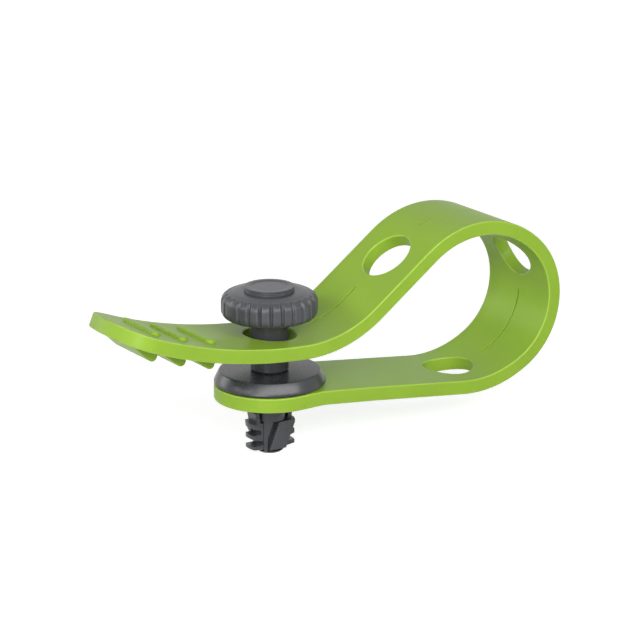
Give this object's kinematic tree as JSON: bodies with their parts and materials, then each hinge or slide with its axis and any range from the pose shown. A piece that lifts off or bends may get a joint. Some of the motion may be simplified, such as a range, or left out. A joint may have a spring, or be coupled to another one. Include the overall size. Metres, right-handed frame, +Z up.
{
  "type": "strap clamp with expanding turn-lock plug",
  "caption": "Elastic strap folded into a loop on a stud whose knob spreads barbed arms in a hole, with a grip tail.",
  "frame": {"origin": "on the stud axis, in the plane of the underside of the strap's round end", "axes": "+Z up the stud towards the knob, +X from the stud towards the strap's loop, Y across the strap"},
  "size_m": [0.123, 0.0268, 0.0516],
  "materials": {
    "strap_elastic": "satin moulded elastic",
    "black_nylon": "satin moulded plastic",
    "knob_nylon": "satin moulded plastic",
    "steel": "machined",
    "brass_insert": "machined"
  },
  "bodies": {
    "base": {"collar": "black_nylon"},
    "strap": {"strap": "strap_elastic"},
    "knob": {"knob": "knob_nylon", "knob_cap": "knob_nylon", "draw_screw": "steel", "retaining_clip": "steel"},
    "plug": {"plug_core": "black_nylon", "threaded_insert": "brass_insert", "arm_pin": "steel"},
    "arm_right": {"latch_arm_right": "black_nylon"},
    "arm_left": {"latch_arm_left": "black_nylon"}
  },
  "joints": [
    {"name": "strap_swivel", "type": "hinge", "parent": "base", "child": "strap", "pos_m": [0, 0, 0], "axis": [0, 0, 1], "continuous": true},
    {"name": "knob_turn", "type": "hinge", "parent": "base", "child": "knob", "pos_m": [0, 0, 0.02], "axis": [0, 0, -1], "range_deg": [0, 1180]},
    {"name": "core_lift", "type": "slide", "parent": "base", "child": "plug", "axis": [0, 0, 1], "range_m": [0, 0.0015]},
    {"name": "arm_right_spread", "type": "hinge", "parent": "plug", "child": "arm_right", "pos_m": [0, 0, -0.0116], "axis": [0, 1, 0], "range_deg": [0, 3.6]},
    {"name": "arm_left_spread", "type": "hinge", "parent": "plug", "child": "arm_left", "pos_m": [0, 0, -0.0116], "axis": [0, -1, 0], "range_deg": [0, 3.6]}
  ],
  "couplings": [
    {"joint": "core_lift", "follows": "knob_turn", "m_per_rad": 0.00007162},
    {"joint": "arm_right_spread", "follows": "knob_turn", "ratio": 0.003},
    {"joint": "arm_left_spread", "follows": "knob_turn", "ratio": 0.003}
  ]
}
